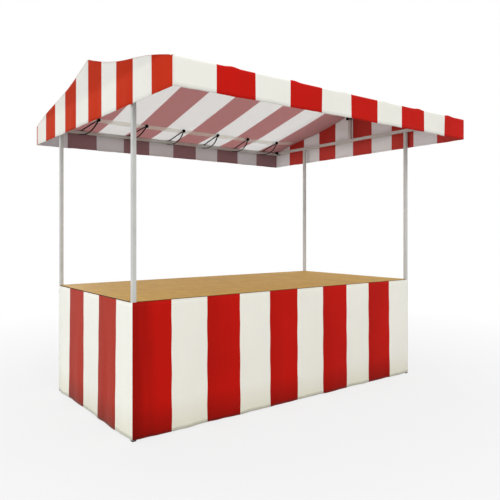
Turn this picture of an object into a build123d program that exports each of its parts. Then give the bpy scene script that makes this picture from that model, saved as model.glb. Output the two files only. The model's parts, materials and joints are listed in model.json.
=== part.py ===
from build123d import *
import os

# Market stall with a ridged cloth roof, a frame of square steel tube and a skirted wooden
# counter. The origin is on the ground under the middle of the stall, +X runs along the
# counter, the front faces -Y and +Z is up. All sizes are in millimetres.

# ---- Driving dimensions ----

# Counter
counter_length = 3000.0  # over the skirt
counter_depth = 1522.0  # over the skirt
counter_height = 947.0  # ground to the top of the boards
board_thickness = 18.0
board_seam = 790.0  # the joint between the two boards, from the middle of the stall
seam_gap = 1.0
notch_clearance = 1.0  # round each post
bearers_under_long_board = 2
skirt_hem = 10.0  # above the ground
skirt_top_drop = 5.0  # below the top of the boards

# Frame
tube_size = 30.0
tube_wall = 2.0
tube_corner = 2.0
frame_height = 2459.0  # top of the eave tubes and of the end beams
eave_tube_inset = 13.0  # from the outside of the cover to the outside of the eave tube
foot_flange = 8.0
foot_plug = 22.0
foot_plug_clearance = 0.3

# Roof cover
end_overhang = 21.5  # past the skirt, at each end
eave_overhang = 600.0  # past the skirt, front and rear
ridge_rise = 307.0  # from the top of the frame to the top of the cover at the ridge
cover_thickness = 2.0
ridge_flat = 1.0  # past the sides of the ridge tube
tie_line_inset = 336.0  # from the eave in to the line where the cover is tied down
tie_pull = 37.0  # how far the ties draw that line below a straight slope
eave_drop = 5.0  # rounding of the cover from the eave tube down to the valance
valance_drop = 188.6  # from the eave to the hem

# Ties
strip_width = 80.0
strip_thickness = 2.0
strip_end_gap = 24.0
ball_diameter = 36.0
ball_setback = 100.0  # from the tie line towards the ridge
elastic_diameter = 7.0
elastic_bend = 5.0  # round the corners of a tube
loop_spread = 36.0  # along the tube, from the taut strand to the slack one
loop_twist = 14.0  # along the tube, from its top to its bottom, on the outside
slack_drop = 38.0  # the corner of the slack strand, below a straight line
slack_swing = 0.75  # and how far along the tube it is, of the way to the loop
slack_bend = 700.0
taut_end_gap = 1.0  # from the strip's edge to the end of the taut strand
ball_places = (-0.698, -0.362, -0.075, 0.214, 0.493, 0.782)  # of half the length
loop_places = (-0.716, -0.374, -0.047, 0.262, 0.556, 0.845)  # of half the length
king_tie_drop = 50.0  # below the ridge tube
corner_ball_setback = 88.0  # from the inside of the eave tube

# Pieces that meet on a curve or past a soft face stand this far apart.
seat = 0.3

# ---- Places worked out from them ----

counter_half_length = counter_length / 2
counter_half_depth = counter_depth / 2
roof_half_length = counter_half_length + end_overhang
roof_half_depth = counter_half_depth + eave_overhang

post_x = counter_half_length - cover_thickness - seat - tube_size / 2
post_y = counter_half_depth - cover_thickness - seat - tube_size / 2
board_bottom = counter_height - board_thickness
rail_z = board_bottom - tube_size / 2

frame_z = frame_height - tube_size / 2
frame_bottom = frame_height - tube_size
eave_tube_outer = roof_half_depth - eave_tube_inset
eave_tube_y = eave_tube_outer - tube_size / 2
eave_tube_inner = eave_tube_outer - tube_size
ridge_height = frame_height + ridge_rise
ridge_z = ridge_height - cover_thickness - seat - tube_size / 2
ridge_bottom = ridge_z - tube_size / 2

cover_inner_x = roof_half_length - cover_thickness
cover_inner_y = roof_half_depth - cover_thickness
tube_half_length = cover_inner_x - seat

elastic_radius = elastic_diameter / 2
ball_radius = ball_diameter / 2
wrap = seat + elastic_radius  # from a tube's face to the middle of the elastic round it
shoulder_y = eave_tube_outer + seat + elastic_diameter
shoulder_z = frame_height + seat + elastic_diameter + seat + cover_thickness
eave_top = shoulder_z - eave_drop
valance_hem = eave_top - valance_drop
ridge_edge = tube_size / 2 + ridge_flat
tie_line = roof_half_depth - tie_line_inset
tie_share = (tie_line - ridge_edge) / (shoulder_y - ridge_edge)
tie_line_height = ridge_height + tie_share * (shoulder_z - ridge_height) - tie_pull


def save(piece, name):
    """Label a finished piece and write its STEP file."""
    piece.part.label = name
    export_step(piece.part, f"parts/{name}.step")


def tube_section():
    """Section of the square tube, hollow, in the sketch that is open."""
    RectangleRounded(tube_size, tube_size, tube_corner)
    Rectangle(tube_size - 2 * tube_wall, tube_size - 2 * tube_wall, mode=Mode.SUBTRACT)


def tube(plane, length):
    """A tube that starts on the plane and runs along its normal."""
    with BuildPart() as piece:
        with BuildSketch(plane):
            tube_section()
        extrude(amount=length)
    return piece


def tube_along_x(y, z, half_length):
    start = Plane(origin=(-half_length, y, z), x_dir=(0, 1, 0), z_dir=(1, 0, 0))
    return tube(start, 2 * half_length)


def tube_along_y(x, z, half_length):
    start = Plane(origin=(x, -half_length, z), x_dir=(1, 0, 0), z_dir=(0, 1, 0))
    return tube(start, 2 * half_length)


def cover_height(y):
    """Height of the cover's top face on a slope, between the ridge and the tie line."""
    share = (abs(y) - ridge_edge) / (tie_line - ridge_edge)
    return ridge_height + share * (tie_line_height - ridge_height)


def slope_top(side):
    """Points (y, z) of the cover's top, from the ridge out to the valance."""
    return [
        (0, ridge_height),
        (side * ridge_edge, ridge_height),
        (side * tie_line, tie_line_height),
        (side * shoulder_y, shoulder_z),
        (side * cover_inner_y, eave_top),
    ]


def prism_along_x(points, start, length):
    """A solid with the outline (y, z), from start along +X."""
    with BuildPart() as piece:
        with BuildSketch(Plane.YZ.offset(start)):
            with BuildLine():
                Polyline(*points, close=True)
            make_face()
        extrude(amount=length)
    return piece


def block(x_range, y_range, z_range):
    """A plain block between pairs of coordinates."""
    middle_x = (x_range[0] + x_range[1]) / 2
    middle_y = (y_range[0] + y_range[1]) / 2
    with BuildPart() as piece:
        with BuildSketch(Plane.XY.offset(z_range[0])):
            with Locations((middle_x, middle_y)):
                Rectangle(x_range[1] - x_range[0], y_range[1] - y_range[0])
        extrude(amount=z_range[1] - z_range[0])
    return piece


os.makedirs("parts", exist_ok=True)

sides_x = {"left": -1, "right": 1}
sides_y = {"front": -1, "rear": 1}

# ---- Posts and their feet ----

for name_y, side_y in sides_y.items():
    for name_x, side_x in sides_x.items():
        spot = (side_x * post_x, side_y * post_y)
        post = tube(Plane((*spot, foot_flange)), frame_bottom - foot_flange)
        save(post, f"post_{name_y}_{name_x}")

        with BuildPart() as foot:
            with BuildSketch(Plane(spot + (0,))):
                RectangleRounded(tube_size, tube_size, tube_corner)
            extrude(amount=foot_flange)
            with BuildSketch(Plane(spot + (foot_flange,))):
                plug_size = tube_size - 2 * tube_wall - 2 * foot_plug_clearance
                Rectangle(plug_size, plug_size)
            extrude(amount=foot_plug)
        save(foot, f"foot_{name_y}_{name_x}")

# ---- Roof frame ----

for name_x, side_x in sides_x.items():
    end_beam = tube_along_y(side_x * post_x, frame_z, eave_tube_inner)
    save(end_beam, f"end_beam_{name_x}")

    king_post = tube(Plane((side_x * post_x, 0, frame_height)), ridge_bottom - frame_height)
    save(king_post, f"king_post_{name_x}")

for name_y, side_y in sides_y.items():
    eave_tube = tube_along_x(side_y * eave_tube_y, frame_z, tube_half_length)
    save(eave_tube, f"eave_tube_{name_y}")

ridge_tube = tube_along_x(0, ridge_z, tube_half_length)
save(ridge_tube, "ridge_tube")

# ---- Counter frame ----

for name_y, side_y in sides_y.items():
    rail = tube_along_x(side_y * post_y, rail_z, post_x - tube_size / 2 - seat)
    save(rail, f"counter_rail_{name_y}")

for name_x, side_x in sides_x.items():
    rail = tube_along_y(side_x * post_x, rail_z, post_y - tube_size / 2 - seat)
    save(rail, f"counter_rail_{name_x}")

bearer_half_length = post_y - tube_size / 2 - seat
bearer_pitch = (board_seam + post_x) / (bearers_under_long_board + 1)
with BuildPart() as bearers:
    for step in range(bearers_under_long_board + 1):
        start = (board_seam - step * bearer_pitch, -bearer_half_length, rail_z)
        with BuildSketch(Plane(origin=start, x_dir=(1, 0, 0), z_dir=(0, 1, 0))):
            tube_section()
        extrude(amount=2 * bearer_half_length)
save(bearers, "counter_bearers")

# ---- Counter boards, notched round the posts ----

board_end = post_x + tube_size / 2
board_edge = post_y + tube_size / 2
notch = tube_size + 2 * notch_clearance
board_spans = {
    "counter_board_long": (-board_end, board_seam - seam_gap / 2),
    "counter_board_short": (board_seam + seam_gap / 2, board_end),
}
for name, (start, end) in board_spans.items():
    with BuildPart() as board:
        with BuildSketch(Plane.XY.offset(board_bottom)):
            with Locations(((start + end) / 2, 0)):
                Rectangle(end - start, 2 * board_edge)
            with GridLocations(2 * post_x, 2 * post_y, 2, 2):
                Rectangle(notch, notch, mode=Mode.SUBTRACT)
        extrude(amount=board_thickness)
    save(board, name)

# ---- Skirt round the counter ----

skirt_range = (skirt_hem, counter_height - skirt_top_drop)
skirt_inner_x = counter_half_length - cover_thickness
skirt_inner_y = counter_half_depth - cover_thickness

for name_y, side_y in sides_y.items():
    y_range = sorted((side_y * skirt_inner_y, side_y * counter_half_depth))
    skirt = block((-counter_half_length, counter_half_length), y_range, skirt_range)
    save(skirt, f"skirt_{name_y}")

for name_x, side_x in sides_x.items():
    x_range = sorted((side_x * skirt_inner_x, side_x * counter_half_length))
    skirt = block(x_range, (-skirt_inner_y, skirt_inner_y), skirt_range)
    save(skirt, f"skirt_{name_x}")

# ---- Roof cover: two slopes, a valance at each eave and a gable at each end ----

for name_y, side_y in sides_y.items():
    top = slope_top(side_y)
    underside = [(y, z - cover_thickness) for y, z in reversed(top)]
    slope = prism_along_x(top + underside, -cover_inner_x, 2 * cover_inner_x)
    save(slope, f"roof_slope_{name_y}")

    y_range = sorted((side_y * cover_inner_y, side_y * roof_half_depth))
    valance = block((-cover_inner_x, cover_inner_x), y_range, (valance_hem, eave_top))
    save(valance, f"valance_{name_y}")

rear_half = slope_top(1) + [(roof_half_depth, eave_top), (roof_half_depth, valance_hem)]
front_half = [(-y, z) for y, z in reversed(rear_half[1:])]
for name_x, side_x in sides_x.items():
    start = cover_inner_x if side_x > 0 else -roof_half_length
    gable = prism_along_x(front_half + rear_half, start, cover_thickness)
    save(gable, f"gable_{name_x}")

# ---- Webbing strips under the slopes, with the elastic ties to the eave tubes ----

strip_half_length = cover_inner_x - strip_end_gap
ball_y = tie_line - ball_setback
strip_gap = cover_thickness + seat
ball_z = cover_height(ball_y) - strip_gap - strip_thickness - seat - ball_radius


def strand_end(middle, target):
    """Where a strand that leads to the target meets a ball."""
    return middle + (target - middle).normalized() * (ball_radius + seat)


def loop_path(ball_x, loop_x, side):
    """Elastic from the edge of the strip, round the eave tube and back, slack, to the ball."""
    over_z = frame_height + wrap
    under_z = frame_bottom - wrap
    back_y = side * (eave_tube_outer + wrap)
    taut_share = ball_setback / (eave_tube_inner - ball_y)
    taut_x = ball_x + taut_share * (loop_x - ball_x)
    first_z = tie_line_height - cover_thickness - seat - wrap
    first = Vector(taut_x, side * (tie_line + taut_end_gap), first_z)
    over = Vector(loop_x, side * eave_tube_inner, over_z)
    back_top = Vector(loop_x, back_y, over_z)
    back_bottom = Vector(loop_x - loop_twist, back_y, under_z)
    under = Vector(loop_x + loop_spread, side * eave_tube_inner, under_z)
    middle = Vector(ball_x, side * ball_y, ball_z)
    slack = Vector(
        ball_x + slack_swing * (under.X - ball_x),
        (middle.Y + under.Y) / 2,
        (middle.Z + under.Z) / 2 - slack_drop,
    )
    return [first, over, back_top, back_bottom, under, slack, strand_end(middle, slack)]


loop_bends = [20, elastic_bend, elastic_bend, 8, slack_bend]  # one for each corner of the path

for name_y, side_y in sides_y.items():
    inner = tie_line - strip_width
    strip_top = [(side_y * y, cover_height(y) - strip_gap) for y in (inner, tie_line)]
    strip_bottom = [(y, z - strip_thickness) for y, z in reversed(strip_top)]
    strip = prism_along_x(strip_top + strip_bottom, -strip_half_length, 2 * strip_half_length)
    save(strip, f"tie_strip_{name_y}")

    with BuildPart() as balls:
        for place in ball_places:
            with Locations((place * roof_half_length, side_y * ball_y, ball_z)):
                Sphere(ball_radius)
    save(balls, f"tie_balls_{name_y}")

    with BuildPart() as loops:
        for place, loop_place in zip(ball_places, loop_places):
            points = loop_path(place * roof_half_length, loop_place * roof_half_length, side_y)
            with BuildLine() as path:
                FilletPolyline(*points, radius=loop_bends)
            with BuildSketch(path.line ^ 0):
                Circle(elastic_radius)
            sweep()
    save(loops, f"tie_loops_{name_y}")

# ---- Elastic ties round the king posts, and round the end beams at the corners ----

reach = tube_size / 2 + wrap
square = [(reach, reach), (-reach, reach), (-reach, -reach), (reach, -reach)]
tied_ball_x = post_x - tube_size / 2 - seat - elastic_diameter - seat - ball_radius

king_tie_height = ridge_bottom - king_tie_drop
with BuildPart() as king_loops:
    for side_x in (-1, 1):
        with BuildLine() as path:
            ring = [(side_x * post_x + x, y, king_tie_height) for x, y in square]
            FilletPolyline(*ring, radius=elastic_bend, close=True)
        with BuildSketch(path.line ^ 0):
            Circle(elastic_radius)
        sweep()
save(king_loops, "king_post_loops")

with BuildPart() as king_balls:
    with Locations(*[(side_x * tied_ball_x, 0, king_tie_height) for side_x in (-1, 1)]):
        Sphere(ball_radius)
save(king_balls, "king_post_balls")

corner_tie_y = eave_tube_inner - corner_ball_setback
corners = [(side_x, side_y * corner_tie_y) for side_x in (-1, 1) for side_y in (-1, 1)]
with BuildPart() as corner_loops:
    for side_x, y in corners:
        with BuildLine() as path:
            ring = [(side_x * post_x + x, y, frame_z + z) for x, z in square]
            FilletPolyline(*ring, radius=elastic_bend, close=True)
        with BuildSketch(path.line ^ 0):
            Circle(elastic_radius)
        sweep()
save(corner_loops, "corner_loops")

with BuildPart() as corner_balls:
    with Locations(*[(side_x * tied_ball_x, y, frame_z) for side_x, y in corners]):
        Sphere(ball_radius)
save(corner_balls, "corner_balls")
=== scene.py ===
# %% [markdown]
# # A market stall with a striped cloth roof
#
# The stall is a frame of square steel tube with a wooden counter. Striped cloth covers its
# roof and hangs round the counter. The frame, boards and ties come ready at their real size,
# and this lesson dresses them: it makes the cloth as real sheets that sag and ripple, and
# gives every surface its finish. Lengths are in metres, with +Z up and the front towards -Y.

# %% Load the stall's frame
import json
import math

import bmesh
import bpy
from mathutils import Matrix, Vector


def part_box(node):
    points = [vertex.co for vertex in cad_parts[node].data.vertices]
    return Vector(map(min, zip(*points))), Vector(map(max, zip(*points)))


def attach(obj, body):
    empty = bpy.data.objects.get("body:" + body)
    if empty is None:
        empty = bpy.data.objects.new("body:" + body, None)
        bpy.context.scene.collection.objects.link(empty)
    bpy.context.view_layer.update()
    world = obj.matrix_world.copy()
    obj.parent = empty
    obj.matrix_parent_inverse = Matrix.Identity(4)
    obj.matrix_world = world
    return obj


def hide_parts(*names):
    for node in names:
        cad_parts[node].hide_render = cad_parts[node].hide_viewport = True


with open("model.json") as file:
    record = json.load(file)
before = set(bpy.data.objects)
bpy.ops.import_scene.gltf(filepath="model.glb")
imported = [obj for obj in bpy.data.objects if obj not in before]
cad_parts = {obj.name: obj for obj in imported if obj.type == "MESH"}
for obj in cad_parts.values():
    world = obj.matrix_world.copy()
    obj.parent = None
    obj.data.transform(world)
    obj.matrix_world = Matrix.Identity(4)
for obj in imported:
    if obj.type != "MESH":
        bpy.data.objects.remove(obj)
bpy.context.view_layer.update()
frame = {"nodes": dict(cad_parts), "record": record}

# %% [markdown]
# ## The camera
#
# A stall is best seen from standing height, a little to the left of its front, so that both
# the long counter and one end show. A level camera keeps the posts upright. Tilting it
# would make them lean together, so the view is moved up with the lens shift instead.

# %% Place the camera
camera_data = bpy.data.cameras.new("stall_camera")
camera_data.lens = 39.13
camera_data.shift_y = -0.0345
camera = bpy.data.objects.new("stall_camera", camera_data)
camera.location = (-3.087, -4.160, 1.4143)
camera.rotation_euler = (math.radians(90), 0, math.radians(-37.255))
bpy.context.scene.collection.objects.link(camera)
bpy.context.scene.camera = camera
print("camera", round(camera.location.length, 2), "m from the middle of the stall")

# %% [markdown]
# ## Light and background
#
# White cloth in daylight is lit from everywhere, so most of the light is an even sky. A
# large soft lamp far out to the front left gives the folds and posts their light and dark
# sides. A low one on the left reaches in under the roof, which the sky can't do, and lets
# the posts throw a soft shadow on the far gable. Two more, overhead and behind, shine
# through the cloth. A picture of a real sky could give such light too, but lamps can be moved
# and dimmed one at a time. The background is white for what the camera sees, in reflections
# and through the cloth, whatever the strength of the sky.

# %% A switch for the background
def seen_directly(tree):
    """A socket that is 1 for the camera's rays, and for those reflected or let through."""
    rays = tree.nodes.new("ShaderNodeLightPath")
    direct = rays.outputs["Is Camera Ray"]
    for kind in ("Is Glossy Ray", "Is Transmission Ray"):
        either = tree.nodes.new("ShaderNodeMath")
        either.operation = "MAXIMUM"
        tree.links.new(direct, either.inputs[0])
        tree.links.new(rays.outputs[kind], either.inputs[1])
        direct = either.outputs[0]
    return direct


print("the background is seen directly, in reflections and through the cloth")

# %% Sky
scene = bpy.context.scene
scene.view_settings.view_transform = "Standard"
world = bpy.data.worlds.new("studio")
scene.world = world
world.use_nodes = True
sky_tree = world.node_tree
sky_tree.nodes.clear()
sky = sky_tree.nodes.new("ShaderNodeBackground")
sky.inputs["Color"].default_value = (0.97, 0.98, 1.0, 1)
sky.inputs["Strength"].default_value = 0.82
white_sky = sky_tree.nodes.new("ShaderNodeBackground")
white_sky.inputs["Color"].default_value = (1, 1, 1, 1)
white_sky.inputs["Strength"].default_value = 1.0
either_sky = sky_tree.nodes.new("ShaderNodeMixShader")
sky_out = sky_tree.nodes.new("ShaderNodeOutputWorld")
sky_tree.links.new(seen_directly(sky_tree), either_sky.inputs["Fac"])
sky_tree.links.new(sky.outputs[0], either_sky.inputs[1])
sky_tree.links.new(white_sky.outputs[0], either_sky.inputs[2])
sky_tree.links.new(either_sky.outputs[0], sky_out.inputs["Surface"])
print("sky strength", round(sky.inputs["Strength"].default_value, 2))


# %% Lamps
def soft_lamp(name, place, target, size, watts, tint=(1, 1, 1)):
    """A square lamp that faces the target."""
    data = bpy.data.lights.new(name, "AREA")
    data.size = size
    data.energy = watts
    data.color = tint
    lamp = bpy.data.objects.new(name, data)
    lamp.location = place
    aim = Vector(target) - Vector(place)
    lamp.rotation_euler = aim.to_track_quat("-Z", "Y").to_euler()
    scene.collection.objects.link(lamp)
    return lamp


lamps = [
    soft_lamp("left_lamp", (-15.5, 1.0, 2.0), (0, 0, 2.0), 2.2, 720, (0.96, 0.98, 1.0)),
    soft_lamp("front_lamp", (-3.0, -16.0, 9.0), (0, 0, 1.5), 6.0, 1060, (1.0, 0.98, 0.93)),
    soft_lamp("rear_lamp", (1.0, 14.0, 5.0), (0, 0, 1.5), 4.0, 240, (1.0, 1.0, 0.98)),
    soft_lamp("overhead_lamp", (0, -0.4, 10.0), (0, 0, 2.5), 6.0, 230, (0.93, 0.97, 1.0)),
]
print("lamps:", [lamp.name for lamp in lamps])

# %% [markdown]
# ## A helper for materials
#
# Each finish is a graph of nodes round one Principled shader. Written out node by node, such
# a graph takes a page. So one small class does the joining: it adds a node with its
# settings, works out a sum, mixes colours and raises the surface. It gives back sockets,
# which go straight into the next step, and each finish then reads like a recipe.

# %% A finish under construction
class Finish:
    """A material with its main shader, and short ways to add nodes to it."""

    def __init__(self, name, roughness, specular=0.5):
        self.material = bpy.data.materials.new(name)
        self.material.use_nodes = True
        self.tree = self.material.node_tree
        self.shader = self.tree.nodes["Principled BSDF"]
        self.shader.inputs["Roughness"].default_value = roughness
        self.shader.inputs["Specular IOR Level"].default_value = specular
        self.place = self.add("TexCoord").outputs["Object"]

    def put(self, value, socket):
        """Link another node's socket, or set a plain value."""
        if isinstance(value, bpy.types.NodeSocket):
            self.tree.links.new(value, socket)
        else:
            socket.default_value = value

    def add(self, kind, settings=None, **inputs):
        """A node of that kind. An input is named by its socket, or as i and its number."""
        node = self.tree.nodes.new("ShaderNode" + kind)
        for key, value in (settings or {}).items():
            setattr(node, key, value)
        for key, value in inputs.items():
            numbered = key[1:].isdigit()
            self.put(value, node.inputs[int(key[1:]) if numbered else key.replace("_", " ")])
        return node

    def math(self, operation, first, second=0.0):
        return self.add("Math", {"operation": operation}, i0=first, i1=second).outputs[0]

    def times(self, value, factor):
        return self.math("MULTIPLY", value, factor)

    def rest_of(self, share):
        """What is left of 1."""
        return self.math("SUBTRACT", 1.0, share)

    def ramp(self, value, low, high):
        """0 below low, 1 above high, and straight between."""
        return self.add("MapRange", Value=value, From_Min=low, From_Max=high).outputs[0]

    def noise(self, scale, detail, place=None, **more):
        place = place or self.place
        return self.add("TexNoise", Vector=place, Scale=scale, Detail=detail, **more).outputs[0]

    def stretched_noise(self, stretch, detail, **more):
        """Noise with a scale of its own along each axis."""
        place = self.add("Mapping", Vector=self.place, Scale=stretch).outputs[0]
        return self.noise(1.0, detail, place, **more)

    def wave(self, direction, scale):
        settings = {"bands_direction": direction}
        return self.add("TexWave", settings, Vector=self.place, Scale=scale).outputs["Fac"]

    def axes(self, vector):
        """The three numbers of a vector."""
        return self.add("SeparateXYZ", Vector=vector).outputs

    def uv(self, name):
        return self.axes(self.add("UVMap", {"uv_map": name}).outputs[0])

    def mix(self, share, first, second, blend="MIX"):
        """Mix two colours."""
        settings = {"data_type": "RGBA", "blend_type": blend}
        return self.add("Mix", settings, i0=share, i6=first, i7=second).outputs[2]

    def darken(self, base, share, tint):
        """Multiply a colour by a tint, where the share says so."""
        return self.mix(share, base, tint, "MULTIPLY")

    def coat(self, paint):
        """Give the main shader its colour."""
        self.put(paint, self.shader.inputs["Base Color"])

    def bump(self, height, strength, distance):
        """Raise the surface. It gives back the normal, for a second shader."""
        node = self.add("Bump", Height=height, Strength=strength, Distance=distance)
        self.put(node.outputs[0], self.shader.inputs["Normal"])
        return node.outputs[0]

    def blend(self, share, second):
        """Mix the main shader with a second one."""
        both = self.add("MixShader", i0=share, i1=self.shader.outputs[0], i2=second.outputs[0])
        self.put(both.outputs[0], self.tree.nodes["Material Output"].inputs["Surface"])


def colour(red, green, blue):
    """A paint colour written as it looks on a screen, from 0 to 255."""
    linear = [c / 12.92 if c <= 0.04045 else ((c + 0.055) / 1.055) ** 2.4
              for c in (red / 255, green / 255, blue / 255)]
    return (*linear, 1)


def darker(dye, factor):
    return (*(factor * c for c in dye[:3]), 1)


def count_nodes(*materials):
    for material in materials:
        print(material.name.split(".")[0], "takes", len(material.node_tree.nodes), "nodes")


print("light grey is", [round(c, 3) for c in colour(198, 198, 194)], "in linear light")

# %% [markdown]
# ## Floor
#
# The floor is a plain matt disc that catches the stall's shadow. With its distance from the
# stall it fades into a white glow, so it runs into the background with no line at the
# horizon. The glow shows where the background does: to the camera, in reflections and
# through the cloth. For all other light the floor is plain grey ground.

# %% Floor
floor_radius = 40
shadow_reach = 2.0
all_white_from = 5.5
glow_beside_stall = 0.8
floor_bm = bmesh.new()
bmesh.ops.create_circle(floor_bm, cap_ends=True, segments=64, radius=floor_radius)
floor_mesh = bpy.data.meshes.new("studio_floor")
floor_bm.to_mesh(floor_mesh)
floor_bm.free()
floor = bpy.data.objects.new("studio_floor", floor_mesh)
scene.collection.objects.link(floor)
ground = Finish("studio_floor", roughness=0.9)
ground.coat((0.45, 0.45, 0.45, 1))
away = ground.add("VectorMath", {"operation": "LENGTH"}, i0=ground.place).outputs["Value"]
glowing = ground.add("MapRange", Value=away, From_Min=shadow_reach, From_Max=all_white_from,
                     To_Min=glow_beside_stall).outputs[0]
white_glow = ground.add("Emission", Strength=1.0)
ground.blend(ground.times(seen_directly(ground.tree), glowing), white_glow)
floor.data.materials.append(ground.material)
print("floor", len(floor.data.polygons), "face,", 2 * floor_radius, "m across")

# %% [markdown]
# ## Striped cloth
#
# The cover and the skirt are coated polyester, woven, with red and white blocks as wide as a
# forearm is long. A picture of the cloth could be laid over them, but a pattern of nodes
# stays sharp from close by. The stripes follow the cloth, so they are drawn on the sheet's
# own map, where one unit across is one stripe: even stripes are red, odd ones white. Up that
# map is the distance from the hem in metres, which places the turned hem, the dirt and the
# painted shade. A second map holds the way along the nearest sewn edge and the distance from
# it, for the stitches.

# %% Cloth with its two maps
class Cloth(Finish):
    """A finish that knows its stripe, its height above the hem and its nearest seam."""

    def __init__(self, name, gloss, sheen, warmth):
        super().__init__(name, roughness=0.5, specular=gloss)
        self.shader.inputs["Sheen Weight"].default_value = sheen
        self.shader.inputs["Sheen Roughness"].default_value = 0.35
        self.shader.inputs["Sheen Tint"].default_value = (1.0, 1.0 - 0.5 * warmth, 1.0 - warmth, 1)
        self.stripe, self.up = self.uv("cloth")[:2]
        self.along_seam, self.from_seam = self.uv("seams")[:2]


print("a cloth knows its stripe, its height above the hem and its nearest seam")

# %% Weave and stitches
THREADS = 260.0
STITCHES_IN = 0.010
STITCH_WIDTH = 0.0014
STITCH_PITCH, STITCH_LENGTH = 0.006, 0.0045


def plain_weave(cloth):
    """Threads that cross over and under each other, a millimetre or so apart."""
    return cloth.times(cloth.wave("X", THREADS), cloth.wave("Z", THREADS))


def stitch_line(cloth):
    """Dashes of thread beside a sewn edge."""
    from_line = cloth.math("ABSOLUTE", cloth.math("SUBTRACT", cloth.from_seam, STITCHES_IN))
    line = cloth.math("LESS_THAN", from_line, 0.5 * STITCH_WIDTH)
    in_dash = cloth.math("FLOORED_MODULO", cloth.along_seam, STITCH_PITCH)
    return cloth.times(line, cloth.math("LESS_THAN", in_dash, STITCH_LENGTH))


print("stitches are", 1000 * STITCH_LENGTH, "mm long, one every", 1000 * STITCH_PITCH, "mm")

# %% [markdown]
# ### Years of use, and painted shade
#
# Cloth that hangs outdoors doesn't stay even. The dye fades in soft patches. The skirt's red
# stripes have painted shade of soft folds in upright bands, darkest beside its front left
# corner, and its left end a duller red, a painted sheen. Its foot is darker near the hem,
# partly dirt splashed up from the ground, partly painted shade. The roof's inner side has a
# painted shadow along each eave tube. Each is one mix of colours, driven by the cloth's map.

# %% Wear and painted shade of the cloth
TUBE_REACH = 0.223
LEFT_END_FROM = 25.0
# A duller red for the skirt's left end: a painted sheen, as the cloth is seen there at a grazing
# angle.
painted_sheen_red = (0.42, 0.022, 0.009, 1)
# The tint of the painted shadow along each eave tube.
tube_shadow_tint = (0.30, 0.27, 0.27, 1)


def painted_fold_shade_and_sheen(cloth, dye):
    """Painted fold shade in upright bands, darkest by the front left corner; painted sheen at the
    left end.
    """
    across = cloth.math("FRACT", cloth.times(cloth.stripe, 0.5))
    band_place = cloth.add("CombineXYZ", X=cloth.times(cloth.stripe, 5.0), Y=cloth.up).outputs[0]
    bands = cloth.noise(1.0, 2.0, band_place)
    # Each red stripe is painted darker on its left and lighter on its right: painted shade of
    # folds.
    shine = cloth.math("ADD", cloth.ramp(across, 0.0, 0.42), cloth.times(bands, 0.8))
    dark = cloth.rest_of(cloth.ramp(shine, 0.35, 1.15))
    # The painted shade is strongest on the stripe beside the front left corner.
    beside_corner = cloth.rest_of(cloth.ramp(cloth.stripe, 0.9, 1.5))
    strength = cloth.math("ADD", cloth.times(beside_corner, 0.60), 0.22)
    # At the left end the red is mixed to a duller red, a painted sheen.
    at_left_end = cloth.ramp(cloth.stripe, LEFT_END_FROM - 0.1, LEFT_END_FROM + 0.1)
    dye = cloth.mix(at_left_end, dye, painted_sheen_red)
    return cloth.darken(dye, cloth.times(dark, strength), (0.45, 0.5, 0.5, 1))


def dirt_and_shade_at_foot(cloth, base, stain, shade_and_dirt):
    """Darker near the hem: partly dirt splashed up from the ground, partly painted shade."""
    height = cloth.math("ADD", cloth.up, cloth.times(cloth.noise(3.5, 5.0), 0.10))
    low = cloth.rest_of(cloth.ramp(height, 0.04, 0.27))
    return cloth.darken(base, cloth.times(low, shade_and_dirt), stain)


def painted_tube_shadow(cloth, base):
    """A painted shadow in a line where the cover lies on the eave tube, sharp below and soft above.
    """
    below_end = cloth.ramp(cloth.up, TUBE_REACH - 0.035, TUBE_REACH - 0.030)
    above_start = cloth.rest_of(cloth.ramp(cloth.up, TUBE_REACH + 0.006, TUBE_REACH + 0.040))
    return cloth.darken(base, cloth.times(cloth.times(above_start, below_end), 0.8), tube_shadow_tint)


# The painted shadow along the eave tube lies this far up from the hem.
print("the roof is shaded", TUBE_REACH, "m from its hem")

# %% [markdown]
# ### Relief, and the light that comes through
#
# The cloth's small relief is a bump: soft upright folds, creases, the weave, and the hem and
# stitches. Light comes through the roof and makes its underside glow, so a share of the
# cloth is a Translucent shader. That share is small near the eaves, where the cloth is
# doubled, and the roof's glow fades towards its ends, where the gables stand in the way of
# the light. Seen from outside the cover should be as red as the skirt, so there most of the
# share goes. The Backfacing output tells the two sides apart: it is 1 for light that meets
# the outer face from within the sheet.

# %% Relief of the cloth
HEM_WIDTH = 0.024
FOLD_STRETCH = (5.0, 5.0, 0.9)


def relief(cloth, hem, stitches):
    """Bump the cloth, and give back its normal."""
    height = cloth.noise(5.0, 3.0, Distortion=0.6)
    height = cloth.math("ADD", height, cloth.times(plain_weave(cloth), 0.04))
    height = cloth.math("SUBTRACT", height, cloth.times(stitches, 0.15))
    height = cloth.math("ADD", height, cloth.times(hem, 0.15))
    folds = cloth.stretched_noise(FOLD_STRETCH, 3.0, Distortion=0.8)
    height = cloth.math("ADD", height, cloth.times(folds, 2.0))
    return cloth.bump(height, 0.35, 0.006)


print("a hem is", HEM_WIDTH, "m wide")

# %% Light through the cloth
DOUBLED_UP_TO, SINGLE_FROM = 0.20, 0.23
DOUBLED_SHARE = 0.04
MIDDLE_STRIPE = 6.0


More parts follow.
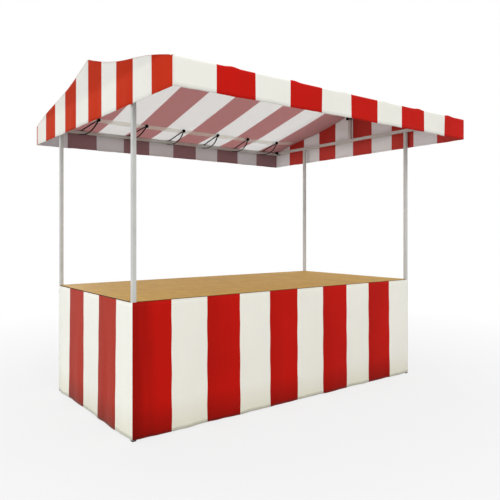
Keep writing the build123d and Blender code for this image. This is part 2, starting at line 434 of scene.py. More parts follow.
def light_share(cloth, through, end_shade, outside):
    """The share of the light that comes through, from the hem up and towards the ends."""
    single = cloth.ramp(cloth.up, DOUBLED_UP_TO, SINGLE_FROM)
    share = cloth.math("ADD", cloth.times(single, through), DOUBLED_SHARE)
    if end_shade:
        from_middle = cloth.math("ABSOLUTE", cloth.math("SUBTRACT", cloth.stripe, MIDDLE_STRIPE))
        near_end = cloth.times(cloth.ramp(from_middle, 3.6, 5.0), end_shade)
        share = cloth.times(share, cloth.rest_of(near_end))
    if outside < 1.0:
        from_within = cloth.add("NewGeometry").outputs["Backfacing"]
        kept = cloth.math("ADD", cloth.times(from_within, 1.0 - outside), outside)
        share = cloth.times(share, kept)
    return share


print("the cover is doubled up to", DOUBLED_UP_TO, "m from its hem")

# %% [markdown]
# ### The cloths
#
# One recipe makes all five. They differ in dye, in what comes through, and in sheen. The
# coated outer faces shine a little, in a warm tint. The roof's inner side is the uncoated
# back of the print, so its red is a dull pink. The gables are dyed right through, and the
# skirt hangs before the dark of the counter, so no light comes through it.

# %% Striped cloth
fibre_tint = (0.3, 0.27, 0.25, 1)
hem_tint = (0.1, 0.08, 0.08, 1)
stitch_tint = (0.5, 0.45, 0.4, 1)
# Tints that darken the skirt's foot: partly dirt, partly painted shade.
red_dirt_and_shade, white_dirt_and_shade = (0.50, 0.70, 0.70, 1), (0.87, 0.86, 0.77, 1)


def striped_cloth(name, dyes, lit, through, sheen=0.10, warmth=0.50, gloss=0.05, shade_and_dirt=0.0,
                  end_shade=0.0, outside=1.0):
    """Cloth in the two dyes, and in the two lit colours of the light that comes through it.
    Outside is how much of that light is left for someone who looks at it from outside."""
    cloth = Cloth(name, gloss, sheen, warmth)
    red, white = dyes
    fade = cloth.noise(1.7, 3.0)
    dyed = cloth.mix(cloth.ramp(fade, 0.35, 0.7), red, darker(red, 0.88))
    bleached = cloth.mix(cloth.ramp(fade, 0.4, 0.75), white, darker(white, 0.96))
    # Painted fold shade and painted sheen on the red, and a foot darkened partly by dirt, partly by
    # painted shade.
    if shade_and_dirt:
        dyed = dirt_and_shade_at_foot(cloth, painted_fold_shade_and_sheen(cloth, dyed), red_dirt_and_shade, shade_and_dirt)
        bleached = dirt_and_shade_at_foot(cloth, bleached, white_dirt_and_shade, shade_and_dirt)
    odd = cloth.math("GREATER_THAN", cloth.math("FLOORED_MODULO", cloth.stripe, 2.0), 1.0)
    base = cloth.mix(odd, dyed, bleached)
    # A painted shadow along the eave tube, on the roof's inner side.
    if end_shade:
        base = painted_tube_shadow(cloth, base)
    base = cloth.darken(base, cloth.times(cloth.noise(420.0, 2.0), 0.06), fibre_tint)
    hem = cloth.math("LESS_THAN", cloth.up, HEM_WIDTH)
    stitches = stitch_line(cloth)
    base = cloth.darken(base, cloth.times(hem, 0.06), hem_tint)
    cloth.coat(cloth.darken(base, cloth.times(stitches, 0.4), stitch_tint))
    surface = relief(cloth, hem, stitches)
    light = cloth.add("BsdfTranslucent", Color=cloth.mix(odd, *lit), Normal=surface)
    cloth.blend(light_share(cloth, through, end_shade, outside), light)
    return cloth.material


print("stripes are red and white by turns, darker at the hem and the stitches")

# %% The cover's cloth, outside and inside
red, white = (0.55, 0.007, 0.003, 1), colour(234, 233, 225)
dull_pink, bluish_white = (0.335, 0.197, 0.222, 1), colour(226, 228, 235)
full_light = (1, 1, 1, 1)
pink_light = (0.80, 0.55, 0.54, 1)
roof_cloth = striped_cloth("roof_cloth", (red, white), (pink_light, full_light), 0.46, outside=0.2)
roof_back = striped_cloth("roof_cloth_back", (dull_pink, bluish_white), (pink_light, full_light),
                          0.50, end_shade=0.6)
count_nodes(roof_cloth, roof_back)

# %% Cloth of the gables and the skirt
gable_red = (0.55, 0.022, 0.003, 1)
inner_red, inner_white = (0.60, 0.055, 0.045, 1), colour(240, 241, 243)
red_light = (0.60, 0.05, 0.012, 1)
skirt_white = colour(243, 242, 232)
gable_cloth = striped_cloth("gable_cloth", (gable_red, white), (red_light, full_light), 0.20,
                            sheen=0.14, warmth=0.95, gloss=0.028)
gable_back = striped_cloth("gable_cloth_back", (inner_red, inner_white), (red_light, full_light),
                           0.16)
# The skirt has painted shade of folds, a painted sheen at its left end, and a foot darkened partly
# by dirt, partly by painted shade.
skirt_cloth = striped_cloth("skirt_cloth", (red, skirt_white), (red, skirt_white), 0.0,
                            sheen=0.22, warmth=0.25, shade_and_dirt=0.9)
count_nodes(gable_cloth, gable_back, skirt_cloth)

# %% [markdown]
# ## Paint on the tubes
#
# The tubes are sprayed light grey. Spray paint is never quite even in tone, and it dries
# with a faint orange peel, so a large soft noise mixes two greys and a fine one is the bump.

# %% Paint
paint = Finish("frame_paint", roughness=0.38, specular=0.4)
blotch = paint.noise(6.0, 4.0)
paint.coat(paint.mix(paint.ramp(blotch, 0.3, 0.7), colour(198, 198, 194), colour(186, 187, 184)))
paint.bump(paint.noise(350.0, 1.0), 0.08, 0.001)
frame_paint = paint.material
count_nodes(frame_paint)

# %% [markdown]
# ## Plywood
#
# The boards are plywood with the grain along the counter. Wood grain could be a picture too,
# but it repeats on a long board. Noise that is stretched along X makes streaks that never
# do. Short flecks and a fine grain lie over it, a painted shadow of the gap lies along the
# joint of the two boards, and below the top face the edges show light and dark plies in turn.

# %% Wood on the top face
ply = Finish("board_wood", roughness=0.55, specular=0.12)
grain = ply.stretched_noise((1.2, 34.0, 34.0), 8.0, Roughness=0.65, Distortion=0.5)
flecks = ply.stretched_noise((14.0, 9.0, 9.0), 5.0, Roughness=0.7)
fine = ply.stretched_noise((14.0, 420.0, 420.0), 3.0)
wood = ply.mix(ply.ramp(grain, 0.3, 0.7), colour(213, 171, 72), colour(195, 151, 54))
wood = ply.mix(ply.times(ply.ramp(flecks, 0.35, 0.72), 0.55), wood, colour(172, 125, 39))
wood = ply.mix(ply.times(ply.ramp(fine, 0.45, 0.75), 0.25), wood, colour(140, 96, 46))
ply.bump(fine, 0.15, 0.001)
count_nodes(ply.material)

# %% The joint and the plies of the edges
PLY = 0.002
JOINT_SHADE_FROM, JOINT_SHADE_TO = 0.002, 0.009
FACE = 0.0008
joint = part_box("counter_board_long")[1]
spot = ply.axes(ply.place)
across, height = spot[0], spot[2]
# The joint of the boards is painted dark: a painted shadow of the gap between them.
from_joint = ply.math("ABSOLUTE", ply.math("SUBTRACT", across, joint.x))
joint_shade = ply.rest_of(ply.ramp(from_joint, JOINT_SHADE_FROM, JOINT_SHADE_TO))
wood = ply.mix(ply.times(joint_shade, 0.6), wood, colour(96, 64, 34))
below_face = ply.math("LESS_THAN", height, joint.z - FACE)
every_other = ply.math("GREATER_THAN", ply.math("FLOORED_MODULO", height, 2 * PLY), PLY)
edge_wood = ply.mix(every_other, colour(84, 56, 34), colour(60, 40, 26))
ply.coat(ply.mix(below_face, wood, edge_wood))
board_wood = ply.material
print("the joint of the boards is", round(joint.x, 3), "m right of the middle")

# %% [markdown]
# ## Plastic and elastic
#
# The feet and the balls of the ties are moulded black plastic, with the fine texture of a
# spark-eroded mould. The ties are black elastic with a braided cover, whose threads cross at
# a slant: diagonal bands of a wave, as a bump, are enough at that size.

# %% Moulded plastic
plastic = Finish("black_plastic", roughness=0.6, specular=0.08)
mould = plastic.noise(240.0, 2.0)
plastic.coat(plastic.mix(mould, colour(3, 3, 4), colour(9, 9, 10)))
plastic.bump(mould, 0.08, 0.001)
black_plastic = plastic.material
count_nodes(black_plastic)

# %% Elastic
elastic = Finish("elastic_cord", roughness=0.75, specular=0.06)
braid = elastic.wave("DIAGONAL", 260.0)
elastic.coat(elastic.mix(braid, colour(3, 2, 3), colour(11, 9, 10)))
elastic.bump(braid, 0.4, 0.001)
elastic_cord = elastic.material
count_nodes(elastic_cord)

# %% [markdown]
# ## Webbing
#
# The strips that the ties pull on are cream webbing with ribs across it and a line of thread
# along each edge. Light comes through it as it does through the cloth. Its upper side, sewn
# against the cover, lets nearly all of it on to the side that shows.

# %% Webbing
SEWN_IN = 0.006
THREAD_HALF = 0.0008


def webbing_finish(name, through):
    """Ribbed cream webbing that lets the given share of the light through."""
    web = Finish(name, roughness=0.8, specular=0.15)
    ribs = web.wave("X", 90.0)
    cream = web.mix(ribs, colour(253, 252, 248), colour(246, 245, 240))
    from_edge = web.uv("seams")[1]
    from_line = web.math("ABSOLUTE", web.math("SUBTRACT", from_edge, SEWN_IN))
    sewn = web.math("LESS_THAN", from_line, THREAD_HALF)
    web.coat(web.mix(web.times(sewn, 0.5), cream, colour(150, 140, 120)))
    web.bump(web.math("SUBTRACT", ribs, web.times(sewn, 0.6)), 0.3, 0.001)
    web.blend(through, web.add("BsdfTranslucent", Color=(1.0, 1.0, 0.98, 1)))
    return web.material


webbing_under = webbing_finish("cream_webbing", 0.44)
webbing_over = webbing_finish("cream_webbing_upper", 0.9)
count_nodes(webbing_under, webbing_over)

# %% Give the CAD pieces their finish
finish_of = {
    "frame_paint": frame_paint,
    "foot_plastic": black_plastic,
    "board_wood": board_wood,
    "ball_plastic": black_plastic,
    "elastic": elastic_cord,
    "webbing": webbing_under,
    "skirt_cloth": skirt_cloth,
    "roof_cloth": roof_cloth,
}
slot_of = {part["node"]: part["material_slot"] for part in frame["record"]["subparts"]}
for node, part in frame["nodes"].items():
    part.data.materials.clear()
    part.data.materials.append(finish_of[slot_of[node]])
print(len(slot_of), "pieces finished")

# %% [markdown]
# ## Where the ties are
#
# Elastic ties pull the cover down between its ridge and its eaves. Each one runs from a
# webbing strip out under the cloth, over and round the eave tube, and back to a plastic
# ball. The cloth has to be low where they pull and lie over them where they cross the tube,
# so their places are measured on the frame. One frame piece holds all six ties of a side.
# A merged copy of it is taken apart into lumps that hang together.

# %% Take a frame piece apart
SAME_POINT = 0.00002


def merged(bm):
    """Join the points where the faces of a frame piece meet."""
    bmesh.ops.remove_doubles(bm, verts=bm.verts, dist=SAME_POINT)
    return bm


def middle(points):
    """Middle of the box round some points."""
    low = Vector([min(p[axis] for p in points) for axis in range(3)])
    high = Vector([max(p[axis] for p in points) for axis in range(3)])
    return (low + high) / 2


def lumps(node):
    """The points of each lump of a frame piece, from the left of the stall to the right,
    and from front to rear where two lie level."""
    bm = bmesh.new()
    bm.from_mesh(frame["nodes"][node].data)
    waiting = set(merged(bm).verts)
    found = []
    while waiting:
        queue = [waiting.pop()]
        points = []
        while queue:
            vert = queue.pop()
            points.append(vert.co.copy())
            for line in vert.link_edges:
                other = line.other_vert(vert)
                if other in waiting:
                    waiting.remove(other)
                    queue.append(other)
        found.append(points)
    bm.free()
    return sorted(found, key=lambda points: [round(c, 3) for c in middle(points)])


print("elastic ties of the rear slope:", len(lumps("tie_loops_rear")))

# %% Ties of the roof
tube_low, tube_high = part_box("eave_tube_rear")
strip_low, strip_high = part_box("tie_strip_rear")
tie_y = strip_high.y
SLACK_BELOW = 0.02
NEAR_TIE_LINE = 0.004
FROM_TUBE_SIDE, ABOVE_TUBE = 0.012, 0.001


def taut_start(loop):
    """Where a tie starts, at the webbing's edge. Its slack strand passes well below there."""
    level = strip_low.z - SLACK_BELOW
    return middle([p for p in loop if abs(abs(p.y) - tie_y) < NEAR_TIE_LINE and p.z > level])


def over_tube(loop):
    """Where a tie lies on top of the eave tube."""
    beyond, level = tube_low.y + FROM_TUBE_SIDE, tube_high.z + ABOVE_TUBE
    return middle([p for p in loop if p.y > beyond and p.z > level])


ties = [(taut_start(loop).x, over_tube(loop).x) for loop in lumps("tie_loops_rear")]
print("ties from", [round(a, 3) for a, b in ties], "to", [round(b, 3) for a, b in ties])

# %% [markdown]
# ## The roof cover
#
# The cover is one sheet that runs up from the front hem, over the front eave tube, over
# the ridge and down to the rear hem, with a gable sewn on at each end. It could be
# simulated, but the shape of a tight cover is simple: straight from the ridge to the line
# where the ties pull it down, straight again to the tube, and free near the gables, where
# nothing pulls. There the doubled seam keeps a long, soft double curve of its own. So a
# flat grid is laid over a profile that changes along the stall.

# %% Sizes of the cover, read from the frame
half_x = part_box("gable_right")[1].x
half_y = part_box("valance_rear")[1].y
hem_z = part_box("valance_rear")[0].z
ridge_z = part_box("roof_slope_rear")[1].z
THICKNESS = 0.0012
STRIPES = 10
ridge_edge = 0.016
rest_z = tube_high.z + THICKNESS + 0.0004
tie_z = strip_low.z + 0.0043
eave_round = half_y - tube_high.y
bend = eave_round * math.pi / 2
drop_height = rest_z - eave_round - hem_z
full_run = tube_high.y + bend + drop_height
print(STRIPES, "stripes of", round(2 * half_x / STRIPES, 3), "m")
print("sheet of", round(2 * full_run, 2), "m from hem to hem")
print("tie line", round(tie_y, 3), round(tie_z, 4), "hem", round(hem_z, 3))


# %% Soft curves
def ease(value):
    """0 to 1 with a soft start and end."""
    value = min(max(value, 0.0), 1.0)
    return value * value * (3 - 2 * value)


def bell(distance, width):
    return math.exp(-((distance / width) ** 2))


def ripple(along, seed):
    """A gentle, uneven wave between about -1 and 1."""
    return (
        0.5 * math.sin(7.3 * along + 1.7 * seed)
        + 0.3 * math.sin(16.1 * along + 2.9 * seed)
        + 0.2 * math.sin(29.7 * along + 0.6 * seed)
    )


print("a quarter of the way, a soft curve has risen to", ease(0.25))

# %% Right end of the cover
CORNER_FLARE = 0.026
FLARED_SHARE = 0.2


def flare(x, y):
    """How far the cover stands out past the frame's right end, most at the rear corner."""
    towards_rear = (y + half_y) / (2 * half_y)
    return CORNER_FLARE * towards_rear * ease((x / half_x - 1 + FLARED_SHARE) / FLARED_SHARE)


print("the rear right corner stands out by", round(flare(half_x, half_y), 3), "m")

# %% Profile over a gable
EDGE_CURVES = (-0.016, -0.0136, 0.002)


def free_height(run):
    """The cover's edge over a gable: a straight line with a long double curve on it."""
    along = (run - ridge_edge) / (tube_high.y - ridge_edge)
    curve = sum(depth * math.sin(waves * math.pi * along)
                for waves, depth in enumerate(EDGE_CURVES, start=1))
    return ridge_z + along * (rest_z - ridge_z) + curve


print("edge of the cover half way down:", round(free_height(tube_high.y / 2), 3), "m")

# %% Profile over the ties
SLOPE_SAG = 0.003
TIE_REACH = 0.10
RISE_BETWEEN_TIES = 0.004
SLOPE_RIPPLE = 0.0025
STRAND_WIDTH, STRAND_LIFT = 0.045, 0.0078


def taut_height(run, x, side):
    """The cover over a tie: straight down to the tie line, and straight on to the tube."""
    if run <= tie_y:
        part = (run - ridge_edge) / (tie_y - ridge_edge)
        height = ridge_z + part * (tie_z - ridge_z) - SLOPE_SAG * math.sin(math.pi * part)
    else:
        part = (run - tie_y) / (tube_low.y - tie_y)
        height = tie_z + min(part, 1.0) * (rest_z - tie_z)
    away = 1 - sum(bell(x - start, TIE_REACH) for start, end in ties)
    height += RISE_BETWEEN_TIES * away * bell(run - tie_y, TIE_REACH)
    wave = math.sin(math.pi * min(run / tube_low.y, 1.0))
    return height + SLOPE_RIPPLE * ripple(x + 0.4 * run, side) * wave


def over_ties(run, x):
    """How far the elastic lifts the cloth, most where it crosses the tube."""
    part = min(max((run - tie_y) / (tube_low.y - tie_y), 0.0), 1.0)
    lift = sum(bell(x - start - part * (end - start), STRAND_WIDTH) for start, end in ties)
    return STRAND_LIFT * part * lift


print("the tie line is at", round(taut_height(tie_y, ties[0][0], 1), 3), "m beside a tie")

# %% The whole profile
FREE_END = 0.38
LOOSE_FROM_CORNER = 0.15
LIFT_GONE_AT = 0.4
HEM_SWING, HEM_ARCH, HEM_WAVE = 0.005, 0.003, 0.002


def slope_height(run, x, side):
    """Height of the cover at a distance from the ridge."""
    if run <= ridge_edge:
        return ridge_z
    held = ease((half_x - abs(x)) / FREE_END)
    height = free_height(run)
    height += held * (taut_height(run, x, side) - height)
    if run > tube_low.y:
        height = rest_z
    return height + over_ties(run, x)


def cover_point(run, x, side):
    """A point of the main sheet, at a run from the ridge towards one side."""
    if run <= tube_high.y:
        y = side * run
        return Vector((x + flare(x, y), y, slope_height(run, x, side)))
    top = slope_height(tube_high.y, x, side) - eave_round
    if run <= tube_high.y + bend:
        angle = (run - tube_high.y) / eave_round
        y = side * (tube_high.y + eave_round * math.sin(angle))
        return Vector((x + flare(x, y), y, top + eave_round * math.cos(angle)))
    hang = (run - tube_high.y - bend) / drop_height
    loose = hang * ease((half_x - abs(x)) / LOOSE_FROM_CORNER)
    y = side * (half_y + HEM_SWING * loose * ripple(x, 2 + side))
    lift = HEM_ARCH * hang * (1 - (x / half_x) ** 2) + HEM_WAVE * loose * ripple(1.9 * x, 5 + side)
    start = rest_z - eave_round
    bump = (top - start) * (1 - ease(hang / LIFT_GONE_AT))
    return Vector((x + flare(x, y), y, start - hang * drop_height + lift + bump))


corner = cover_point(full_run, half_x, 1)
print("the rear right corner of the hem is at", [round(c, 3) for c in corner])


# %% A helper that lays a grid of cloth
def lay_cloth(name, columns, rows, place, print_map, seam_map, outward, slot):
    """A grid laid by place(s, t), with its stripes and its seams from two maps of (s, t)."""
    bm = bmesh.new()
    bmesh.ops.create_grid(bm, x_segments=columns, y_segments=rows, size=1.0)
    maps = [(bm.loops.layers.uv.new("cloth"), print_map),
            (bm.loops.layers.uv.new("seams"), seam_map)]
    for face in bm.faces:
        for corner in face.loops:
            s, t = (corner.vert.co.x + 1) / 2, (corner.vert.co.y + 1) / 2
            for layer, where in maps:
                corner[layer].uv = where(s, t)
    for vert in bm.verts:
        vert.co = place((vert.co.x + 1) / 2, (vert.co.y + 1) / 2)
    bm.normal_update()
    if sum(face.normal.dot(outward(face.calc_center_median())) for face in bm.faces) < 0:
        bmesh.ops.reverse_faces(bm, faces=bm.faces)
    return make_piece(name, bm, slot)


def make_piece(name, bm, slot):
    mesh = bpy.data.meshes.new(name)
    bm.to_mesh(mesh)
    bm.free()
    for face in mesh.polygons:
        face.use_smooth = True
    piece = bpy.data.objects.new(name, mesh)
    scene.collection.objects.link(piece)
    mesh.materials.append(finish_of[slot])
    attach(piece, "root")
    return piece


def thicken(piece, amount, inner=None):
    """Give a sheet its thickness, and the inner side its own finish."""
    solid = piece.modifiers.new("thickness", "SOLIDIFY")
    solid.thickness = amount
    solid.offset = -1
    if inner:
        piece.data.materials.append(inner)
        solid.material_offset = 1


def nearest_seam(*seams):
    """The map of the stitches: of several (along, distance) pairs, the nearest one."""
    return min(seams, key=lambda seam: seam[1])


print("a sheet has one map for its stripes and one for its seams")


# %% The main sheet
def steps(start, end, count):
    return [start + (end - start) * i / count for i in range(1, count + 1)]


half_stops = [0.0]
half_stops += steps(0.0, ridge_edge, 2)
half_stops += steps(ridge_edge, tie_y, 34)
half_stops += steps(tie_y, tube_low.y, 11)
half_stops += steps(tube_low.y, tube_high.y, 2)
half_stops += steps(tube_high.y, tube_high.y + bend, 5)
half_stops += steps(tube_high.y + bend, full_run, 11)
stops = [-run for run in reversed(half_stops[1:])] + half_stops


def main_place(s, t):
    run = stops[round(t * (len(stops) - 1))]
    side = 1 if run >= 0 else -1
    return cover_point(abs(run), -half_x + 2 * half_x * s, side)


def main_print(s, t):
    run = stops[round(t * (len(stops) - 1))]
    return (STRIPES * s + 1, full_run - abs(run))


def main_seams(s, t):
    run = stops[round(t * (len(stops) - 1))]
    x = half_x * (2 * s - 1)
    return nearest_seam((run, half_x - abs(x)), (x, full_run - abs(run) - STITCHES_IN))


roof_cover = lay_cloth("roof_cover", 280, len(stops) - 1, main_place, main_print, main_seams,
                       lambda p: Vector((0, p.y, 2.0)), "roof_cloth")
thicken(roof_cover, THICKNESS, roof_back)
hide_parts("roof_slope_front", "roof_slope_rear", "valance_front", "valance_rear")
print("roof cover", len(roof_cover.data.polygons), "faces")

# %% [markdown]
# The gables are flat pieces cut to the roof's own outline and sewn to it. Each column of the
# grid runs from the hem up to the cover's edge, so the two sheets meet with no gap. They
# stand a hair inside the cover's edge, as a seam turned under it does. They are cut from
# striped cloth as it comes off the roll, so a stripe may end as a sliver at a corner.

# %% The gables
INSIDE_THE_EDGE = 0.0006
IN_FROM_END = 0.0008
SEAM_SLANT = 0.97
GABLE_SWING, GABLE_WAVE = 0.004, 0.002


def edge_height(y):
    """Top of the gable, which is the edge of the main sheet."""
    run = abs(y)
    if run <= tube_high.y:
        return slope_height(run, half_x, 1)
    out = min((run - tube_high.y) / eave_round, 1.0)
    return rest_z - eave_round * (1 - math.sqrt(1 - out * out))


def gable(side, name, node, rear_stripe, stripe_width):
    """A gable whose rear stripe ends at the given y, with stripes of the given width."""
    end_y = half_y - INSIDE_THE_EDGE

    def column(s):
        """Where a column of the grid stands, and how tall it is."""
        y = end_y * (2 * s - 1)
        return y, edge_height(y) - INSIDE_THE_EDGE - hem_z

    def place(s, t):
        y, tall = column(s)
        loose = (1 - t) * ease((half_y - abs(y)) / LOOSE_FROM_CORNER)
        x = half_x - IN_FROM_END + flare(side * half_x, y)
        x += GABLE_SWING * loose * ripple(y, 8 + side)
        z = hem_z + t * tall + GABLE_WAVE * loose * ripple(1.7 * y, 3 + side)
        return Vector((side * x, y, z))

    def print_map(s, t):
        y, tall = column(s)
        return (2 + (rear_stripe - y) / stripe_width, t * tall)

    def seam_map(s, t):
        y, tall = column(s)
        up = t * tall
        below_roof = SEAM_SLANT * (tall - up)
        return nearest_seam((y, below_roof), (y, up - STITCHES_IN), (up, half_y - abs(y)))

    piece = lay_cloth(name, 160, 24, place, print_map, seam_map,
                      lambda p: Vector((side, 0, 0)), "roof_cloth")
    piece.data.materials[0] = gable_cloth
    thicken(piece, THICKNESS, gable_back)
    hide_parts(node)
    return piece


gables = [
    gable(-1, "gable_cloth_left", "gable_left", 1.066, 0.2685),
    gable(1, "gable_cloth_right", "gable_right", 1.084, 0.2703),
]
print("gables", [len(g.data.polygons) for g in gables])

# %% [markdown]
# ## The webbing strips
#
# A strip of webbing is sewn under each slope, with its lower edge on the tie line, and it
# spreads the pull of the ties over the cloth. It is a flat strap that follows the cover, so
# it is a narrow grid laid just under the cover's own surface. Its upper side, which is
# sewn against the cloth, lets nearly all the light on to the side that shows.

# %% Webbing under the slopes
WEBBING_THICKNESS = 0.0016
UNDER_THE_COVER = 0.0004
OUT_BETWEEN_TIES = 0.014
HELD_BESIDE_TIE = 0.09
strip_half = strip_high.x
strip_width = tie_y - strip_low.y


def lower_edge(x):
    """Run of the strip's lower edge, which hangs out between the ties."""
    held = min(sum(bell(x - start, HELD_BESIDE_TIE) for start, end in ties), 1.0)
    return tie_y + OUT_BETWEEN_TIES * (1 - held)


def webbing(side, name, node):
    def place(s, t):
        x = strip_half * (2 * s - 1)
        run = strip_low.y + (lower_edge(x) - strip_low.y) * t
        z = slope_height(run, x, side) - THICKNESS - UNDER_THE_COVER
        return Vector((x, side * run, z))

    def print_map(s, t):
        return (s, strip_width * t)

    def seam_map(s, t):
        return (2 * strip_half * s, strip_width * min(t, 1 - t))

    piece = lay_cloth(name, 200, 8, place, print_map, seam_map,
                      lambda p: Vector((0, 0, 1)), "webbing")
    piece.data.materials[0] = webbing_over
    thicken(piece, WEBBING_THICKNESS, webbing_under)
    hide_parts(node)
    return piece


strips = [
    webbing(-1, "webbing_strip_front", "tie_strip_front"),
    webbing(1, "webbing_strip_rear", "tie_strip_rear"),
]
print([strip.name for strip in strips], round(2 * strip_half, 3), "m long,",
      round(strip_width, 3), "m wide")

# %% [markdown]
# ## The balls of the ties
#
# Each ball is moulded in two halves, with a thin raised line where they meet and a hole that
# the elastic's end goes into. A ball is turned, as on a lathe: one point is spun into half
# a circle, its upper end is drawn down for the hole, and that outline is spun all the way
# round. The hole faces the elastic, and the ends of its two strands fill it.

# %% One ball
HOLE = 0.0075
HOLE_DEPTH = 0.010
PARTING_LINE = 0.0004
PARTING_OUT = 0.0003
STRAND = 0.0035
HALF_APART = STRAND + 0.0002
END_SHOWS = 0.0003
BALL_STEPS = 14
STRAND_SIDES = 14


def half_outline(radius):
    """A ball's outline from the middle of its hole, up over the rim and down to the bottom."""
    bm = bmesh.new()
    top = math.sqrt(radius**2 - HOLE**2)
    rim = bm.verts.new((HOLE, 0, top))
    bmesh.ops.spin(bm, geom=[rim], cent=(0, 0, 0), axis=(0, 1, 0),
                   angle=math.pi - math.asin(HOLE / radius), steps=BALL_STEPS)
    for reach in (HOLE, 0.0):
        rim = bmesh.ops.extrude_vert_indiv(bm, verts=[rim])["verts"][0]
        rim.co = Vector((reach, 0, top - HOLE_DEPTH))
    for height in (-PARTING_LINE, 0.0, PARTING_LINE):
        whole = bm.verts[:] + bm.edges[:]
        bmesh.ops.bisect_plane(bm, geom=whole, plane_co=(0, 0, height), plane_no=(0, 0, 1))
    for vert in bm.verts:
        if abs(vert.co.z) < 0.0001 and vert.co.x > 0.5 * radius:
            vert.co.x += PARTING_OUT
    return bm


def ball(radius):
    """The outline, spun all the way round, with two ends of elastic in the hole."""
    bm = half_outline(radius)
    bmesh.ops.spin(bm, geom=bm.verts[:] + bm.edges[:], cent=(0, 0, 0), axis=(0, 0, 1),
                   angle=2 * math.pi, steps=2 * BALL_STEPS, use_merge=True)
    bmesh.ops.remove_doubles(bm, verts=bm.verts, dist=0.00001)
    bmesh.ops.recalc_face_normals(bm, faces=bm.faces)
    shell = len(bm.faces)
    for side in (-1, 1):
        end = bmesh.ops.create_cone(bm, cap_ends=True, segments=STRAND_SIDES, radius1=STRAND,
                                    radius2=STRAND, depth=HOLE_DEPTH)
        place = (side * HALF_APART, 0, radius - 0.5 * HOLE_DEPTH + END_SHOWS)
        bmesh.ops.translate(bm, verts=end["verts"], vec=place)
    bm.faces.ensure_lookup_table()
    for face in bm.faces[shell:]:
        face.material_index = 1
    return bm


sample = ball(0.018)
print("a ball has", len(sample.faces), "faces")
sample.free()

# %% Put a ball where each of the frame's balls is
SAME_RING = 0.0008


def add_part(bm, part, place):
    """Add a part to a piece, turned and moved by a matrix."""
    bmesh.ops.transform(part, matrix=place, verts=part.verts)
    carrier = bpy.data.meshes.new("carrier")
    part.to_mesh(carrier)
    part.free()
    bm.from_mesh(carrier)
    bpy.data.meshes.remove(carrier)


def facing(centre, target):
    """A matrix that puts a part at the centre, with its +Z to the target and +X along the stall."""
    ahead = (target - centre).normalized()
    across = Vector((1, 0, 0)) if abs(ahead.x) < 0.9 else Vector((0, 0, 1))
    across = (across - across.dot(ahead) * ahead).normalized()
    turn = Matrix((across, ahead.cross(across), ahead)).transposed().to_4x4()
    return Matrix.Translation(centre) @ turn


def nearest_bit(points, centre):
    """Middle of the points that are nearest to the centre."""
    nearest = min((p - centre).length for p in points)
    return middle([p for p in points if (p - centre).length < nearest + SAME_RING])


def tie_balls(name, node, elastic_node):
    bm = bmesh.new()
    cords = [point for lump in lumps(elastic_node) for point in lump]
    for lump in lumps(node):
        centre = middle(lump)
        radius = max(p.x for p in lump) - centre.x
        add_part(bm, ball(radius), facing(centre, nearest_bit(cords, centre)))
    piece = make_piece(name, bm, "ball_plastic")
    piece.data.materials.append(elastic_cord)
    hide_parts(node)
    return piece


balls = [
    tie_balls("balls_front", "tie_balls_front", "tie_loops_front"),
    tie_balls("balls_rear", "tie_balls_rear", "tie_loops_rear"),
    tie_balls("balls_king_posts", "king_post_balls", "king_post_loops"),
    tie_balls("balls_corners", "corner_balls", "corner_loops"),
]
print("balls:", {piece.name: len(piece.data.polygons) for piece in balls})

# %% [markdown]
# ## The elastic
#
# The elastic of a tie is a closed loop, so two strands lie side by side wherever it runs.
# The frame has one strand with the right path and thickness. Each of the two is a copy of
# it, moved over by half the distance between them: along the stall for the roof's ties, and
# along the tube for those round the king posts and the end beams. The joins of the copy are
# merged first, so that it shades smoothly. Under the roof the frame's strand begins at the
# edge of the webbing. A real one comes through an eyelet there from its ball, so a short
# pair of strands closes each loop.

# %% A pair of strands between two points
NECK = 0.12
INTO_BALL, INTO_TIE = 0.003, 0.002


def stretched(length):
    """A strand along +Z from the origin, thinner in the middle, as stretched elastic is."""
    bm = bmesh.new()
    bmesh.ops.create_cone(bm, cap_ends=True, segments=STRAND_SIDES, radius1=STRAND,
                          radius2=STRAND, depth=length)
    long_edges = [line for line in bm.edges if line.calc_length() > 0.5 * length]
    bmesh.ops.subdivide_edges(bm, cuts=5, edges=long_edges)
    for vert in bm.verts:
        vert.co.xy *= 1 - NECK + NECK * (2 * vert.co.z / length) ** 4
        vert.co.z += length / 2
    return bm


def strand_pair(bm, start, end):
    for beside in (Vector((-HALF_APART, 0, 0)), Vector((HALF_APART, 0, 0))):
        add_part(bm, stretched((end - start).length), facing(start + beside, end + beside))


def close_the_loops(bm, node, ball_node):
    """A pair of strands from each ball to the start of its tie at the webbing's edge."""
    for loop, knob in zip(lumps(node), lumps(ball_node)):
        centre = middle(knob)
        start = taut_start(loop)
        radius = max(p.x for p in knob) - centre.x
        towards = (start - centre).normalized()
        strand_pair(bm, centre + (radius - INTO_BALL) * towards, start + INTO_TIE * towards)


print("strands are", 2000 * STRAND, "mm thick and", round(2000 * HALF_APART, 1), "mm apart")

# %% Two strands for each tie
def doubled(name, node, apart, ball_node=None):
    """Two copies of a frame piece's strands, apart along an axis."""
    bm = bmesh.new()
    for side in (-1, 1):
        strand = bmesh.new()
        strand.from_mesh(frame["nodes"][node].data)
        add_part(bm, merged(strand), Matrix.Translation(side * HALF_APART * Vector(apart)))
    if ball_node:
        close_the_loops(bm, node, ball_node)
    piece = make_piece(name, bm, "elastic")
    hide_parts(node)
    return piece


elastics = [
    doubled("elastic_front", "tie_loops_front", (1, 0, 0), "tie_balls_front"),
    doubled("elastic_rear", "tie_loops_rear", (1, 0, 0), "tie_balls_rear"),
    doubled("elastic_king_posts", "king_post_loops", (0, 0, 1)),
    doubled("elastic_corners", "corner_loops", (0, 1, 0)),
]
print("elastic:", {piece.name: len(piece.data.polygons) for piece in elastics})

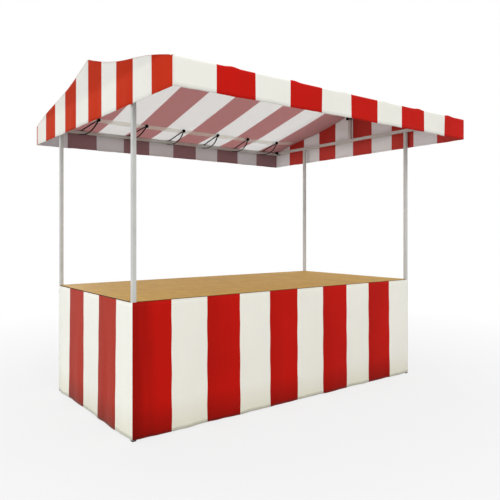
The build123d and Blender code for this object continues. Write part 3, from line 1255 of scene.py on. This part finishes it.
# %% [markdown]
# ## The skirt
#
# The skirt is one band of cloth that hangs round the counter from its top edge. It is held
# along the top and free below, so its folds are nothing at the top and deepest at the hem.
# A grid is bent round the four corners and the folds push it outwards only, because the
# posts stand right behind it. The stripes are printed on the cloth before it is hung, so
# they don't fit the ends of the counter exactly: each side has its own stripe widths.

# %% Sides of the skirt
skirt_low, skirt_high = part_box("skirt_front")
skirt_half_x = skirt_high.x
skirt_half_y = -skirt_low.y
skirt_hem, skirt_top = skirt_low.z, skirt_high.z
corner_round = 0.006
end_widths = (0.264, 0.321, 0.321, 0.321, 0.295)
long_widths = (2 * skirt_half_x / STRIPES,) * STRIPES
sides = [
    (Vector((-skirt_half_x, -skirt_half_y)), Vector((1, 0)), long_widths),
    (Vector((skirt_half_x, -skirt_half_y)), Vector((0, 1)), end_widths),
    (Vector((skirt_half_x, skirt_half_y)), Vector((-1, 0)), long_widths),
    (Vector((-skirt_half_x, skirt_half_y)), Vector((0, -1)), tuple(reversed(end_widths))),
]
stripes_round = sum(len(widths) for start, along, widths in sides)
print("skirt:", stripes_round, "stripes round", round(4 * (skirt_half_x + skirt_half_y), 2), "m")


def round_the_counter(stripe):
    """Place, outward direction and distance from the nearest corner, at a stripe count."""
    for start, along, widths in sides:
        if stripe <= len(widths):
            whole = min(int(stripe), len(widths) - 1)
            length = sum(widths)
            travelled = sum(widths[:whole]) + (stripe - whole) * widths[whole]
            to_corner = max(min(travelled, length - travelled), 0.0)
            spot = start + along * travelled
            outward = Vector((along.y, -along.x))
            if to_corner < corner_round:
                turn = (1 - to_corner / corner_round) * math.pi / 4
                inward = along * (-1 if travelled > length / 2 else 1)
                pivot = spot + inward * (corner_round - to_corner) - outward * corner_round
                outward = outward * math.cos(turn) - inward * math.sin(turn)
                spot = pivot + outward * corner_round
            return spot, outward, to_corner
        stripe -= len(widths)
    return round_the_counter(0)


# %% Folds
END_FOLDS, LONG_FOLDS = 0.016, 0.011
END_HEM, LONG_HEM = 0.004, 0.003
END_TOP_SAG, TOP_HELD_BY_CORNER = 0.003, 0.05
FOLD_GROWTH = 1.2
SWAY, SWAY_FROM = 0.0018, 0.2
STILL_CORNER = 0.10


def fold_depth(stripe, to_corner, hang, depth):
    """How far the cloth stands out from the counter, from 0 at the top."""
    wander = 0.6 * math.sin(4.1 * hang + 2.3 * stripe)
    wave = 0.5 + 0.5 * ripple(0.31 * stripe + 0.03 * wander, 11)
    return depth * wave * hang**FOLD_GROWTH * ease(to_corner / STILL_CORNER)


def sideways(stripe, to_corner, hang):
    """A small sway of the hanging cloth along the counter."""
    sway = SWAY * math.sin(20 * hang + 3.1 * stripe)
    return sway * ease(hang / SWAY_FROM) * ease(to_corner / LOOSE_FROM_CORNER)


def skirt_place(s, t):
    stripe = stripes_round * s if s < 1 else 0
    spot, outward, to_corner = round_the_counter(stripe)
    hang = 1 - t
    on_end = abs(outward.x) > 0.9
    depth, waver = (END_FOLDS, END_HEM) if on_end else (LONG_FOLDS, LONG_HEM)
    spot = spot + outward * fold_depth(stripe, to_corner, hang, depth)
    spot += Vector((-outward.y, outward.x)) * sideways(stripe, to_corner, hang)
    top = skirt_top - (END_TOP_SAG * ease(to_corner / TOP_HELD_BY_CORNER) if on_end else 0)
    z = skirt_hem + t * (top - skirt_hem)
    z += waver * hang * ripple(0.5 * stripe, 4) * ease(to_corner / STILL_CORNER)
    return Vector((spot.x, spot.y, z))


skirt_height = skirt_top - skirt_hem
skirt_length = 4 * (skirt_half_x + skirt_half_y)


def skirt_print(s, t):
    return (stripes_round * s, t * skirt_height)


def skirt_seams(s, t):
    along = skirt_length * s
    return nearest_seam((along, (1 - t) * skirt_height), (along, t * skirt_height - STITCHES_IN))


# %% The skirt
skirt = lay_cloth("skirt_cloth", 14 * stripes_round, 32, skirt_place, skirt_print, skirt_seams,
                  lambda p: Vector((p.x / skirt_half_x, p.y / skirt_half_y, 0)), "skirt_cloth")
thicken(skirt, THICKNESS)
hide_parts("skirt_front", "skirt_rear", "skirt_left", "skirt_right")
print("skirt", len(skirt.data.polygons), "faces")
